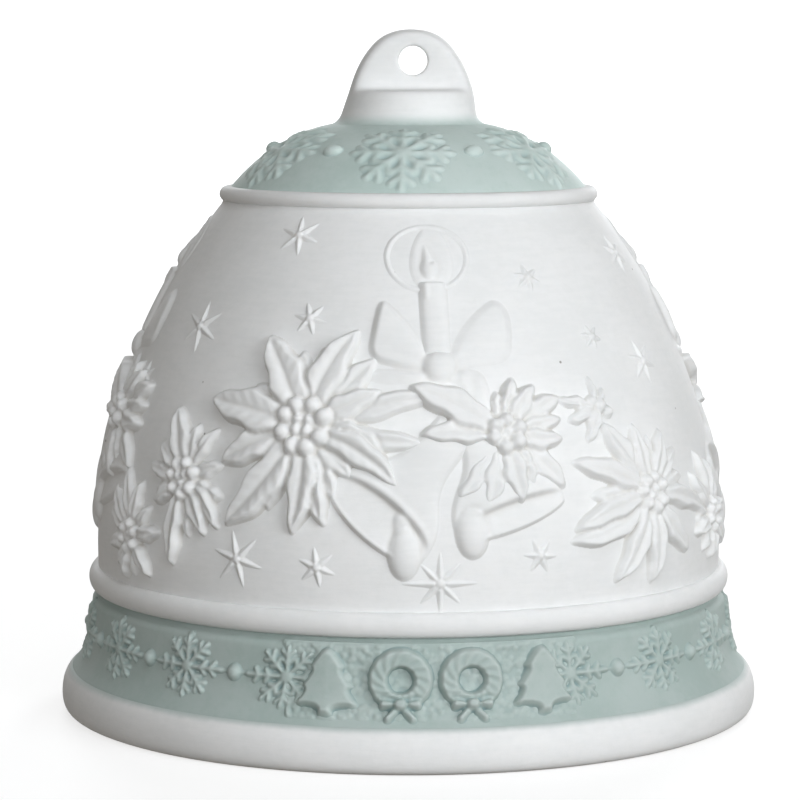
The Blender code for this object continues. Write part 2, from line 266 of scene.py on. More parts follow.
looks = {
    "white": bisqueMaterial("white bisque", False),
    "sage": bisqueMaterial("sage bisque", True),
    # painted shade: a darker copy of the sage for the band under the waist bead
    "band": bisqueMaterial("sage bisque band with painted shade", True, shade=bisque["bandPaintedShade"]),
    # painted shade: the lip's sage border takes the band's darkened sage
    "lip": bisqueMaterial("white bisque lip", False, tintAbove=(4.2, 5.1), shade=bisque["bandPaintedShade"]),
    "lug": bisqueMaterial("white bisque lug", False, tintBelow=(crownTop - 0.3, crownTop + 1.3)),
    "wire": wireMaterial(),
}
print("finishes made")


def addPiece(bm, name, look, body="bell", nodes=(), liner=None):
    # a bmesh in mm becomes a piece of its body that stands for its CAD nodes; liner is the look of its inside
    bmesh.ops.scale(bm, verts=bm.verts, vec=(mm, mm, mm))
    mesh = bpy.data.meshes.new(name)
    bm.to_mesh(mesh)
    bm.free()
    mesh.shade_smooth()
    piece = bpy.data.objects.new(name, mesh)
    bpy.context.scene.collection.objects.link(piece)
    mesh.materials.append(looks[look])
    if liner:
        mesh.materials.append(looks[liner])
        for face in mesh.polygons:
            face.material_index = int(face.normal.xy.dot(face.center.xy) < 0)
    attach(piece, body)
    if nodes:
        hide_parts(*nodes)
    return piece


# turned shells


def turn(profile, steps, onAxis=False):
    bm = bmesh.new()
    verts = [bm.verts.new((radius, 0, height)) for radius, height in profile]
    edges = [bm.edges.new(pair) for pair in zip(verts, verts[1:])]
    if not onAxis:
        edges.append(bm.edges.new((verts[-1], verts[0])))
    bmesh.ops.spin(
        bm, geom=verts + edges, cent=(0, 0, 0), axis=(0, 0, 1), angle=math.tau, steps=steps, use_merge=True
    )
    if onAxis:
        bmesh.ops.remove_doubles(bm, verts=bm.verts, dist=0.0005)
    bmesh.ops.recalc_face_normals(bm, faces=bm.faces)
    return bm


def outlinePoints(curve, count):
    return list(zip(*cubic(curve, np.linspace(0, 1, count))))


def quarterPoints(points, ends):
    # two points on each side of an outline, a quarter of the way in from its corners
    made = []
    for (x0, y0), (x1, y1) in zip(points, ends):
        made.append((0.75 * x0 + 0.25 * x1, 0.75 * y0 + 0.25 * y1))
        made.append((0.25 * x0 + 0.75 * x1, 0.25 * y0 + 0.75 * y1))
    return made


def smoothed(points, cuts):
    # corners of an open outline cut again and again; its two ends stay
    for _ in range(cuts):
        points = [points[0]] + quarterPoints(points, points[1:]) + [points[-1]]
    return points


def rounded(points, cuts=3):
    # the same for a closed outline
    for _ in range(cuts):
        points = quarterPoints(points, points[1:] + points[:1])
    return points


def insidePoints(surface, thickness, count, low, high):
    # the inner side of a shell, from the bottom up
    pick = np.linspace(0, len(surface.t) - 1, count).astype(int)
    radius = surface.radius[pick] - thickness * surface.outR[pick]
    height = surface.height[pick] - thickness * surface.outZ[pick]
    height[0], height[-1] = low, high
    return list(zip(radius, height))


def roll(middle, radius, bulge, halfHeight, count=17):
    # a half-round bulge, from its top edge down
    angles = np.linspace(0, math.pi, count)
    return [(radius + bulge * math.sin(a), middle + halfHeight * math.cos(a)) for a in angles]


shells = {"steps": 300, "wall": 3.0, "close": gap / 2, "socket": 5.0}
band = {
    "groove": [(34.75, 13.3), (35.1, 13.1), (35.5, 12.85)],  # a shadow line under the bead
    "top": 12.75,
    "foot": [(38.3, 4.35), (37.6, 3.9)],  # runs on inside the lip
    "inside": [(33.6, 4.0), (33.2, 6.6), (32.9, 8.5), (32.65, 11.0)],
}
beads = {
    "waist_bead": {"radius": 35.15, "bulge": 0.9, "top": 34.5, "foot": 34.75, "under": gap / 2, "inside": (32.4, 32.3)},
    "crown_bead": {"radius": 20.3, "bulge": 0.85, "top": 19.4, "foot": 20.2, "under": 0, "inside": (17.9, 17.3)},
}
lip = {
    "start": (36.6, 4.6),
    "roll": [
        (37.3, 4.95), (37.85, 4.97), (38.35, 4.68), (38.78, 4.05), (39.08, 3.2),
        (39.2, 2.3), (39.18, 1.4), (39.0, 0.7), (38.65, 0.25), (38.0, 0.0),
    ],
    "restInside": 35.0,
    "inside": [(34.6, 0.35), (34.3, 1.2), (33.9, 3.0)],
}


def makeBead(node, bead):
    low, high = span(node)
    close, (foot, top) = shells["close"], bead["inside"]
    outside = [(bead["top"], high)] + roll((low + high) / 2, bead["radius"], bead["bulge"], (high - low) / 2)
    points = outside + [(bead["foot"], low - bead["under"]), (foot, low - close), (top, high + close)]
    addPiece(turn(points, shells["steps"]), node + "_skin", "white", nodes=[node])


def makeShells():
    steps, close = shells["steps"], shells["close"]
    wall = surfaces["wall"]
    # each skin's ends run on inside the roll next to them, so no seam shows
    outside = [(20.6, wallTop + 0.7)] + outlinePoints(outlines["wall"], 70) + [(35.0, wallFoot - 1.1)]
    inside = insidePoints(wall, shells["wall"], 30, wallFoot - close, wallTop + close)
    addPiece(turn(outside + inside, steps), "bell_wall_skin", "white", nodes=["bell_wall"])

    crown = surfaces["crown"]
    outside = outlinePoints(outlines["crown"], 40) + [(20.0, crownFoot - 0.8)]
    seat = crownTop - shells["wall"]
    inside = insidePoints(crown, shells["wall"], 16, crownFoot - close, seat)
    rim = [(shells["socket"], seat), (shells["socket"], crownTop)]
    bm = turn(outside + inside[:-1] + rim, steps)
    addPiece(bm, "crown_skin", "sage", nodes=["crown_dome"], liner="white")

    outside = [point for point in outlinePoints(outlines["band"], 50) if point[1] < band["top"]]
    groove = [(34.7, bandTop + close)] + band["groove"]
    inside = band["inside"] + [(32.5, bandTop + close)]
    bm = turn(groove + outside + band["foot"] + inside, steps)
    addPiece(bm, "band_skin", "band", nodes=["lower_band"], liner="white")
    for node, bead in beads.items():
        makeBead(node, bead)

    # the lip turns under to the flat ring that the bell stands on; its top starts inside the band
    inside = [(lip["restInside"], lipFoot)] + lip["inside"] + [(33.65, lipTop + close)]
    bm = turn([lip["start"]] + smoothed(lip["roll"], 3) + inside, steps)
    addPiece(bm, "lip_skin", "lip", nodes=["lip_ring"])
    print("shells turned")


# relief: every motif is a height over a flat sheet, which is then laid on the bell


def eased(x):
    x = np.clip(x, 0, 1)
    return x * x * (3 - 2 * x)


def blurred(field, passes):
    for _ in range(passes):
        field = np.pad(field, 1, mode="edge")
        field = (field[:-2, 1:-1] + 2 * field[1:-1, 1:-1] + field[2:, 1:-1]) / 4
        field = np.pad(field, ((0, 0), (1, 1)), mode="edge")
        field = (field[:, :-2] + 2 * field[:, 1:-1] + field[:, 2:]) / 4
    return field


def leafOver(field, u, v, base, tip, width, height, bend=0.0, fold=0.42, lobes=0.0, lift=0.0, edge=0.3):
    # a folded leaf laid over what is there: a valley down its midrib, plump halves and steep edges
    base, tip = np.array(base), np.array(tip)
    length = math.dist(base, tip)
    along, across = (tip - base) / length, np.array([base[1] - tip[1], tip[0] - base[0]]) / length
    s = ((u - base[0]) * along[0] + (v - base[1]) * along[1]) / length
    side = (u - base[0]) * across[0] + (v - base[1]) * across[1]
    side = side - 4 * bend * length * s * (1 - s)
    sc = np.clip(s, 0, 1)
    half = width / 2 * 2.1 * sc**0.7 * (1 - sc) ** 0.8
    ripple = 1 + lobes * np.sin(sc * 17 + np.sign(side) * 1.1) * eased(sc * 4)
    half = np.maximum(half * ripple, 1e-4)
    offset = np.abs(side)
    inset = np.minimum(half - offset, np.minimum(s, 1 - s) * length + 0.2)
    inset = np.where((s > -0.05) & (s < 1.05), inset, -1)
    body = eased((inset + 0.02) / edge)
    share = np.clip(offset / half, 0, 1)
    plump = np.sin(np.clip(share * 1.15, 0, 1) ** 0.75 * math.pi * 0.62)
    veins = 0.03 * np.sin((s * length - offset * 0.8) * 4.4) * eased(share * 3) * eased(sc * 3)
    tilted = 0.1 * np.sign(side) * eased(share * 2)
    profile = 0.72 + 0.36 * np.sin(sc * math.pi * 0.9) - 0.16 * sc**3
    leaf = (height * profile * (1 - fold + fold * plump + tilted) + lift - height * veins) * body
    trench = 1 - 0.42 * np.exp(-np.clip(-inset, 0, 9) ** 2 / 0.07) * (s > 0.02) * (s < 1.0)
    return np.where(inset > 0, np.maximum(leaf, field * (1 - body)), field * trench)


def ridgeOver(field, u, v, start, end, width, height, taper=1.0, lift=0.0):
    # a rounded bar from start to end, narrowing to taper times its width
    start, end = np.array(start), np.array(end)
    run = end - start
    t = np.clip(((u - start[0]) * run[0] + (v - start[1]) * run[1]) / (run @ run), 0, 1)
    away = np.hypot(u - start[0] - t * run[0], v - start[1] - t * run[1])
    scale = 1 - (1 - taper) * t
    bar = np.clip(1 - (away / (width / 2 * scale)) ** 2, 0, 1)
    return np.maximum(field, (lift + height * scale**0.5) * np.sqrt(bar) * (bar > 0))


def ballOver(field, u, v, centre, halfLength, halfWidth, height, tilt=0.0, lift=0.0):
    turnBy = math.radians(tilt)
    x = (u - centre[0]) * math.cos(turnBy) + (v - centre[1]) * math.sin(turnBy)
    y = -(u - centre[0]) * math.sin(turnBy) + (v - centre[1]) * math.cos(turnBy)
    inside = 1 - (x / halfLength) ** 2 - (y / halfWidth) ** 2
    around = field * (1 - 0.45 * np.exp(-np.clip(-inside, 0, 9) / 0.35))
    return np.where(inside > 0, np.maximum(field, lift + height * np.sqrt(np.clip(inside, 0, 1))), around)


def ringOver(field, u, v, centre, radiusU, radiusV, width, height, lift=0.0):
    away = np.abs(np.hypot((u - centre[0]) / radiusU, (v - centre[1]) / radiusV) - 1) * (radiusU + radiusV) / 2
    bar = np.clip(1 - (away / (width / 2)) ** 2, 0, 1)
    return np.maximum(field, (lift + height) * np.sqrt(bar))


relief = {"pitch": 0.14, "sink": 0.03, "skirt": 0.35, "edge": 0.004, "spread": 14, "hollowDepth": 0.35}


def laySheet(name, surface, angle, height, size, shape, look, nodes=(), soften=1, pitch=None):
    # size is (low u, high u, low v, high v); shape(u, v) gives the height; what doesn't rise is cut away
    pitch = pitch or relief["pitch"]
    lowU, highU, lowV, highV = size
    countU, countV = round((highU - lowU) / pitch), round((highV - lowV) / pitch)
    across, along = np.linspace(lowU, highU, countU + 1), np.linspace(lowV, highV, countV + 1)
    u, v = np.meshgrid(across, along, indexing="ij")
    field = blurred(shape(u, v), soften)
    wide = blurred(field, relief["spread"])
    # hollow also drives the finishes' painted shade in hollows and painted highlight on proud sage tops
    hollow = np.clip((wide - field) / relief["hollowDepth"], -1, 1) * (field > 0.02)  # below 0 where proud

    bm = bmesh.new()
    bmesh.ops.create_grid(bm, x_segments=countU, y_segments=countV, size=0.5)
    layer = bm.verts.layers.float.new("hollow")
    for vert in bm.verts:
        i, j = round((vert.co.x + 0.5) * countU), round((vert.co.y + 0.5) * countV)
        vert.co = (u[i, j], v[i, j], field[i, j] - relief["sink"])
        vert[layer] = hollow[i, j]
    floor = relief["edge"] - relief["sink"]
    flat = [face for face in bm.faces if all(vert.co.z < floor for vert in face.verts)]
    bmesh.ops.delete(bm, geom=flat, context="FACES")
    rim = [edge for edge in bm.edges if edge.is_boundary]
    skirt = bmesh.ops.extrude_edge_only(bm, edges=rim)["geom"]
    down = [item for item in skirt if isinstance(item, bmesh.types.BMVert)]
    for vert in down:
        vert.co.z = -relief["skirt"]
    bmesh.ops.holes_fill(bm, edges=[edge for edge in bm.edges if edge.is_boundary], sides=0)
    flat = np.array([vert.co for vert in bm.verts])
    laid = surfaces[surface].place(angle, height, flat[:, 0], flat[:, 1], flat[:, 2])
    for vert, spot in zip(bm.verts, laid):
        vert.co = spot
    bmesh.ops.recalc_face_normals(bm, faces=bm.faces)
    return addPiece(bm, name, look, nodes=nodes)


# bracts are (clock angle in degrees, reach, width, bend) in mm, listed from the lowest layer up
largeFlower = {
    "bracts": [
        (98, 8.2, 3.4, 0.0), (14, 13.9, 3.8, 0.03), (48, 10.0, 4.6, -0.03), (-7, 13.2, 3.4, -0.03),
        (146, 7.4, 4.0, 0.0), (-62, 8.6, 3.4, 0.0), (-111, 9.6, 3.6, -0.04), (-43, 7.8, 3.6, 0.0),
        (-155, 10.5, 4.8, -0.04), (-20, 9.4, 5.0, 0.05), (27, 8.6, 3.8, 0.0), (83, 8.6, 2.6, -0.03),
        (67, 11.4, 5.0, 0.05), (-128, 13.7, 5.4, 0.05), (169, 11.8, 5.8, -0.02), (119, 10.9, 5.6, -0.03),
        (-74, 10.7, 3.8, -0.03), (-93, 11.3, 4.2, 0.07), (-31, 12.4, 3.9, 0.08),
    ],
    "berries": 8, "inner": 4, "ring": 2.3, "berrySize": 0.86, "height": 1.12, "lift": 0.0,
}
middleFlower = {
    "bracts": [
        (-42, 8.7, 3.8, 0.03), (-130, 8.6, 3.2, 0.04), (97, 4.6, 2.4, 0.0), (29, 7.6, 3.6, 0.04), (12, 6.8, 2.6, 0.0),
        (-109, 7.8, 3.8, 0.03), (-62, 6.2, 3.0, 0.0), (77, 6.2, 2.8, 0.0), (54, 6.4, 3.0, 0.03), (-6, 6.6, 3.0, -0.06),
        (-79, 7.4, 3.6, -0.02), (180, 8.9, 3.8, -0.05), (151, 10.8, 4.8, -0.04),
    ],
    "berries": 6, "inner": 1, "ring": 1.45, "berrySize": 0.78, "height": 0.8, "lift": 0.3,
}
cornerFlower = {
    "bracts": [
        (-150, 9.4, 3.0, 0.0), (80, 6.2, 2.4, 0.0), (11, 6.6, 2.6, 0.03), (36, 7.4, 2.4, 0.0), (178, 8.6, 3.2, 0.0),
        (125, 9.6, 4.2, 0.0), (98, 7.6, 3.2, 0.03), (62, 7.4, 3.2, -0.04), (159, 11.1, 3.6, -0.05), (-16, 10.9, 3.2, 0.06),
        (-48, 9.5, 3.4, -0.05), (-160, 12.5, 3.8, 0.07), (-164, 11.6, 3.2, -0.05), (-125, 10.9, 3.8, 0.05),
        (-95, 9.7, 3.4, 0.05),
    ],
    "berries": 7, "inner": 2, "ring": 1.6, "berrySize": 0.68, "height": 0.92, "lift": 0.0,
}
leftFlower = {
    "bracts": [
        (200, 4.8, 2.4, 0.0), (20, 5.6, 2.4, 0.0), (170, 6.3, 2.4, 0.04), (-15, 6.0, 2.8, -0.06), (-76, 6.4, 2.6, 0.0),
        (56, 6.8, 2.4, 0.04), (82, 6.0, 2.6, 0.0), (-146, 5.4, 2.6, 0.0), (141, 5.8, 2.4, 0.0), (-42, 7.4, 2.8, 0.1),
        (-57, 6.9, 3.0, 0.05), (110, 8.0, 3.8, -0.03), (-95, 9.4, 3.4, -0.02),
    ],
    "berries": 7, "inner": 3, "ring": 1.65, "berrySize": 0.66, "height": 0.92, "lift": 0.0,
}
smallFlower = {
    "bracts": [
        (180, 4.6, 2.2, 0.0), (-80, 4.4, 2.2, 0.0), (155, 6.4, 2.6, 0.0), (-130, 4.8, 2.2, 0.0), (45, 5.0, 2.2, 0.0),
        (108, 7.8, 2.6, -0.04), (132, 7.2, 2.6, 0.04), (79, 6.3, 2.4, 0.0), (-164, 5.3, 2.4, 0.0), (10, 5.6, 2.4, 0.0),
        (-45, 5.6, 2.6, 0.05), (-103, 4.9, 2.4, 0.0),
    ],
    "berries": 6, "inner": 1, "ring": 1.35, "berrySize": 0.6, "height": 0.9, "lift": 0.0,
}
flowers = (
    ("large_front", -25.0, 35.0, largeFlower),
    ("large_back", 155.0, 35.0, largeFlower),
    ("middle_front", 12.0, 34.2, middleFlower),
    ("middle_right", 102.0, 34.2, middleFlower),
    ("middle_back", 192.0, 34.2, middleFlower),
    ("middle_left", -78.0, 34.2, middleFlower),
    ("corner_front_right", 42.5, 27.1, cornerFlower),
    ("corner_front_left", -49.5, 28.8, leftFlower),
    ("corner_back_left", 222.5, 27.1, cornerFlower),
    ("corner_back_right", 130.5, 28.8, leftFlower),
    ("small_front_left", -63.5, 21.8, smallFlower),
    ("small_front_right", 64.9, 23.1, smallFlower),
    ("small_back_right", 116.5, 21.8, smallFlower),
    ("small_back_left", 244.9, 23.1, smallFlower),
)


def flowerShape(flower):
    bracts, size, ring = flower["bracts"], flower["berrySize"], flower["ring"]

    def shape(u, v):
        rng = np.random.default_rng(7)
        field = np.zeros_like(u)
        for i, (clock, reach, width, bend) in enumerate(bracts):
            a = math.radians(clock)
            layer = i / len(bracts)
            tip = (reach * math.cos(a), reach * math.sin(a))
            base = (0.8 * math.cos(a), 0.8 * math.sin(a))
            height = flower["height"] * (0.76 + 0.24 * layer)
            lift = flower["lift"] + 0.3 * layer
            field = leafOver(field, u, v, base, tip, width, height, bend, lobes=0.1, lift=lift)
        bed = flower["lift"] + flower["height"] * 0.82
        field = ballOver(field, u, v, (0, 0), ring + size * 0.5, ring + size * 0.5, 0.22, lift=bed)
        inner, outer = flower["inner"], flower["berries"]
        spots = [(ring * 0.36, 0.75, 360 * i / inner + 40) for i in range(inner)]
        for i in range(outer):
            away, share = ring * rng.uniform(0.96, 1.06), rng.uniform(0.9, 1.1)
            spots.append((away, share, 360 * i / outer + 20 + rng.uniform(-7, 7)))
        for away, share, clock in spots:
            a = math.radians(clock)
            centre = (away * math.cos(a), away * math.sin(a))
            field = ballOver(field, u, v, centre, size * share, size * share, size * share * 0.95, lift=bed)
        return field

    return shape


def makeFlowers():
    for name, angle, height, flower in flowers:
        us = [reach * math.cos(math.radians(clock)) for clock, reach, width, bend in flower["bracts"]]
        vs = [reach * math.sin(math.radians(clock)) for clock, reach, width, bend in flower["bracts"]]
        border = 1.5
        size = (min(us) - border, max(us) + border, min(vs) - border, max(vs) + border)
        node = "poinsettia_" + name
        laySheet(node + "_sprig", "wall", angle, height, size, flowerShape(flower), "white", nodes=[node], soften=2)
    print("poinsettias laid")


# candle, halo and bow, one of each on the four sides


def patchOver(field, u, v, outline, height, edge=0.4, lift=0.0):
    # a patch inside an outline, with soft edges; its height may be an array
    inside = np.zeros(u.shape, bool)
    away = np.full(u.shape, 1e9)
    for (x0, y0), (x1, y1) in zip(outline, outline[1:] + outline[:1]):
        crosses = ((y0 > v) != (y1 > v)) & (u < (x1 - x0) * (v - y0) / (y1 - y0 + 1e-9) + x0)
        inside ^= crosses
        run = (x1 - x0) ** 2 + (y1 - y0) ** 2 + 1e-12
        t = np.clip(((u - x0) * (x1 - x0) + (v - y0) * (y1 - y0)) / run, 0, 1)
        away = np.minimum(away, np.hypot(u - x0 - t * (x1 - x0), v - y0 - t * (y1 - y0)))
    body = eased(away / edge)
    trench = 1 - 0.35 * np.exp(-(away**2) / 0.1)
    return np.where(inside, np.maximum((height + lift) * body, field * (1 - body)), field * trench)


sides = (("front", 0), ("right", 90), ("back", 180), ("left", 270))
candle = {"angle": -0.1, "height": 46.4, "width": 2.85, "rise": 0.6, "foot": -4.7, "top": 3.7}
halo = {
    "angle": -1.1, "height": 52.0, "across": 4.2, "along": 3.85, "line": 0.5, "rise": 0.22,
    "glow": (2.0, 3.6), "flameFoot": (0.2, -2.4), "flameTip": (-0.3, 1.6), "flameWidth": 1.9,
}
bow = {
    "angle": 0.4, "height": 41.2, "knot": 1.7, "knotRise": 1.0,
    "leftLoop": {
        "way": -1, "rise": 0.55, "fall": 0.7, "folds": 0.12, "edge": 0.5,
        "outline": [
            (-0.8, 1.0), (-2.6, 4.3), (-4.2, 6.3), (-5.8, 7.7),
            (-6.6, 4.6), (-7.5, 0.7), (-4.0, -0.2), (-0.9, -0.6),
        ],
    },
    "rightLoop": {
        "way": 1, "rise": 0.24, "fall": 1.0, "folds": 0.13, "edge": 0.9,
        "outline": [
            (0.8, 1.0), (2.1, 4.0), (4.0, 6.0), (6.2, 7.7), (7.9, 6.0),
            (8.1, 3.4), (7.8, 0.2), (4.2, -0.2), (0.9, -0.6),
        ],
    },
    "drop": [
        (0.8, -0.6), (3.4, -0.3), (5.0, -1.3), (5.7, -6.2), (4.7, -5.6), (3.7, -6.4), (3.3, -2.7), (0.8, -1.8),
    ],
    "tail": [(-0.9, -0.6), (-4.2, -0.4), (-8.6, -0.3), (-7.4, -1.7), (-4.8, -2.1), (-0.9, -1.5)],
}


def candleShape(u, v):
    foot, top, width = candle["foot"], candle["top"], candle["width"]
    lean = u + 0.02 * v
    share = np.clip(np.abs(lean) / (width / 2), 0, 1)
    stick = (1 - share**2.6) ** 0.6 * candle["rise"] * (share < 1)
    ends = eased((v - foot) / 0.5) * eased((top - v) / 0.3)
    field = stick * ends
    rim = 0.16 * np.exp(-((v - top + 0.35) ** 2) / 0.05) * (share < 0.95)
    drip = ballOver(np.zeros_like(u), u, v, (-0.75, top - 1.3), 0.4, 1.0, 0.2, tilt=0)
    return field + rim * (field > 0.1) + drip * (field > 0.2)


def haloShape(u, v):
    across, along = halo["glow"]
    flat = np.zeros_like(u)
    field = ringOver(flat, u, v, (0, 0), halo["across"], halo["along"], halo["line"], halo["rise"])
    x = (u - 0.4) / (across * (1 - 0.22 * v / along))
    glow = 1 - x**2 - (v / along) ** 2
    plate = eased(glow / 0.3) * 0.2
    rim = 0.14 * np.exp(-(glow**2) / 0.03)
    field = np.maximum(field, plate + rim * (glow > -0.25))
    x, y = halo["flameFoot"]
    width = halo["flameWidth"]
    flame = ballOver(flat, u, v, (x, y + 1.1), width / 2, 1.25, 0.62, lift=0.1)
    flame = ridgeOver(flame, u, v, (x, y + 1.2), halo["flameTip"], width * 0.92, 0.66, taper=0.1)
    wick = 0.3 * np.exp(-((u - x - 0.15) ** 2 + (v - y - 1.7) ** 2) / 0.05)
    return np.maximum(field, flame - wick * (flame > 0.3))


def bowShape(u, v):
    field = np.zeros_like(u)
    drop, tail = rounded(bow["drop"]), rounded(bow["tail"])
    field = patchOver(field, u, v, drop, 0.34 + 0.12 * np.sin(u * 3.4 + v * 0.3), edge=0.45)
    field = patchOver(field, u, v, tail, 0.3 + 0.12 * np.sin(v * 3.6 + u * 0.4), edge=0.5)
    for loop in (bow["leftLoop"], bow["rightLoop"]):
        way = loop["way"]
        away = np.clip(way * u / 7.2, 0, 1)
        across = np.arctan2(v + 0.3, way * u + 0.4)
        folds = loop["folds"] * np.cos((across - 0.62) * 7.5) * (1 - 0.5 * away)
        swell = loop["rise"] * away ** loop["fall"]
        field = patchOver(field, u, v, rounded(loop["outline"]), 0.2 + swell + folds, edge=loop["edge"])
    return ballOver(field, u, v, (0, 0), bow["knot"], bow["knot"], bow["knotRise"])


def makeCandles():
    for side, turn in sides:
        for name, values, size, shape, soften in (
            ("candle_halo", halo, (-5.2, 5.2, -5.2, 5.2), haloShape, 1),
            ("candle", candle, (-2.2, 2.2, -5.4, 9.2), candleShape, 2),
            ("bow", bow, (-9.2, 8.8, -6.8, 8.6), bowShape, 4),
        ):
            laySheet(
                name + "_sprig_" + side, "wall", turn + values["angle"], values["height"], size, shape,
                "white", nodes=[name + "_" + side], soften=soften,
            )
    print("candles, halos and bows laid")


# the pair of small bells under each bow

leftBell = {
    "angle": -11.2, "height": 25.4, "size": (-8.0, 13.0, -7.5, 13.5), "centre": (0.25, 0.35),
    "mouth": 6.35, "depth": 2.25, "tilt": -39.8, "length": 13.5, "ball": (2.95, -3.05), "ballSize": (1.65, 2.7),
}
rightBell = {
    "angle": 11.8, "height": 25.8, "size": (-8.5, 8.5, -6.5, 11.5), "centre": (0.25, 0.15),
    "mouth": 6.45, "depth": 1.4, "tilt": 17.2, "length": 10.0, "ball": (-3.95, -1.45), "ballSize": (1.7, 2.6),
}


def bellShape(bell):
    tilt = math.radians(bell["tilt"])

    def shape(u, v):
        du, dv = u - bell["centre"][0], v - bell["centre"][1]
        x = du * math.cos(tilt) + dv * math.sin(tilt)
        y = -du * math.sin(tilt) + dv * math.cos(tilt)
        mouth, depth = bell["mouth"], bell["depth"]
        half = mouth * (0.38 + 0.62 / (1 + np.exp(np.clip((y - 4.4) / 1.15, -20, 20))))
        share = np.clip(np.abs(x) / half, 0, 1)
        body = (0.15 + 0.62 * np.sqrt(1 - share**2)) * eased((half - np.abs(x)) / 0.4) * (y > 0)
        body = body * eased((bell["length"] - y) / 2.5)
        roll = 0.2 * np.exp(-((y - depth * np.sqrt(np.clip(1 - (x / mouth) ** 2, 0, 1)) - 0.45) ** 2) / 0.12)
        oval = 1 - (x / mouth) ** 2 - (y / depth) ** 2
        dish = 0.06 + 0.5 * np.clip(0.5 - y / depth / 2, 0, 1) ** 1.6
        rim = 0.3 * np.exp(-(oval**2) / 0.02) * eased((depth * 0.6 - y) / depth) * eased((mouth - np.abs(x)) / 0.8)
        shown = eased(oval / 0.12 + 0.5)
        field = (body + roll * eased(body / 0.25) * eased((1 - share) / 0.2)) * (1 - shown) + (dish + 0.1) * shown
        field = np.maximum(field, (dish + rim) * eased((oval + 0.13) / 0.1))
        field = field * eased((mouth * 0.985 - np.abs(x)) / 0.4)
        centre, (across, along) = bell["ball"], bell["ballSize"]
        neck, top = centre[1] + along * 0.3, centre[1] + along * 1.25
        field = ridgeOver(field, u, v, (centre[0], neck), (centre[0] * 0.9, top), across * 1.5, 0.75, taper=0.75)
        return ballOver(field, u, v, centre, across, along, 1.0)

    return shape


def makeBells():
    for side, turn in sides:
        for name, bell in (("bell_left", leftBell), ("bell_right", rightBell)):
            nodes = [name + "_" + side] if side in ("front", "back") else ()
            laySheet(
                name + "_sprig_" + side, "wall", turn + bell["angle"], bell["height"], bell["size"],
                bellShape(bell), "white", nodes=nodes, soften=2,
            )
    print("relief bells laid")


# holly, stars, snowflakes and pearls

holly = {
    "angle": 33.0, "height": 36.4,
    "leaves": [(168, 5.4, 2.0), (100, 3.6, 1.3), (197, 4.6, 2.2), (238, 4.4, 2.2), (62, 2.4, 1.2)],
}


def hollyShape(u, v):
    field = np.zeros_like(u)
    for clock, reach, width in holly["leaves"]:
        a = math.radians(clock)
        tip = (reach * math.cos(a), reach * math.sin(a))
        field = leafOver(field, u, v, (0, 0), tip, width, 0.75, lobes=0.16)
    field = ballOver(field, u, v, (0.1, 0.1), 0.8, 0.75, 0.65, lift=0.3)
    field = ballOver(field, u, v, (1.1, -0.6), 0.7, 0.65, 0.55, lift=0.15)
    return ballOver(field, u, v, (-0.9, 0.7), 0.6, 0.55, 0.5, lift=0.3)


# stars on the wall: angle, height, reach, rays, turn
stars = (
    (-35.9, 54.1, 2.6, 6, 12), (-56.2, 44.3, 3.2, 6, 5), (-27.2, 45.8, 2.0, 6, 20), (-36.2, 21.1, 3.2, 6, 15),
    (-21.3, 20.8, 2.2, 6, 10), (-0.3, 19.3, 4.1, 8, 0), (17.3, 21.8, 2.0, 6, 25), (23.4, 49.8, 1.7, 6, 8),
    (60.7, 51.6, 2.5, 6, 0), (50.1, 40.5, 2.7, 6, 12), (-72.0, 38.5, 1.9, 6, 0), (36.0, 43.5, 1.5, 6, 15),
)


def starShape(reach, rays, turn):
    # thin pyramids that meet at the middle
    def shape(u, v):
        field = np.zeros_like(u)
        for i in range(rays):
            clock = 360 * i / rays
            a = math.radians(90 + turn + clock)
            far = reach
            if rays == 8:
                far = reach * (0.74 if i % 2 else (0.82 if clock % 180 == 0 else 1.0))
            x = u * math.cos(a) + v * math.sin(a)
            y = np.abs(-u * math.sin(a) + v * math.cos(a))
            half = 0.5 * (1 - np.clip(x / far, 0, 1)) ** 0.8 + 0.08
            peak = 0.5 * (1 - np.clip(x / far, 0, 1)) ** 0.6
            ray = peak * np.clip(1 - y / half, 0, 1) * (x > -0.2) * (x < far)
            field = np.maximum(field, ray)
        return ballOver(field, u, v, (0, 0), 0.5, 0.5, 0.5)

    return shape


def snowflakeShape(reach, arms, thick, rise, wide=0.0):
    # the arms that lie along the ring are longer by the share that wide gives
    def shape(u, v):
        field = np.zeros_like(u)
        for i in range(arms):
            a = math.radians(90 + 360 * i / arms)
            far = reach * (1 + wide * abs(math.cos(a)) ** 4)
            out = np.array((math.cos(a), math.sin(a)))
            field = ridgeOver(field, u, v, (0, 0), out * far, thick, rise, taper=0.85)
            for share, length in ((0.4, 0.28), (0.66, 0.3)):
                for way in (-1, 1):
                    b = a + way * math.radians(46)
                    start = out * far * share
                    end = start + reach * length * np.array((math.cos(b), math.sin(b)))
                    field = ridgeOver(field, u, v, start, end, thick * 0.95, rise * 0.9, taper=0.85)
        return ballOver(field, u, v, (0, 0), thick * 1.1, thick * 1.1, rise)

    return shape


garland = {
    "start": 22.0, "end": 334.0, "flakes": 17, "height": 9.4, "reach": 3.1, "wide": 0.45, "arms": 8,
    "thick": 0.58, "rise": 0.55, "pearl": 0.85, "counts": (5, 4, 4, 4),
}
crownTrim = {
    "count": 6, "height": 62.6, "turn": -8.0, "reach": 5.4, "thick": 0.85, "rise": 0.5,
    "pearlTurn": -38.0, "pearlHeight": 62.8, "pearl": (1.15, 0.85), "pearlTilt": 12,
}


def pearlShape(u, v):
    halfLength, halfWidth = crownTrim["pearl"]
    return ballOver(np.zeros_like(u), u, v, (0, 0), halfLength, halfWidth, 0.7, tilt=crownTrim["pearlTilt"])


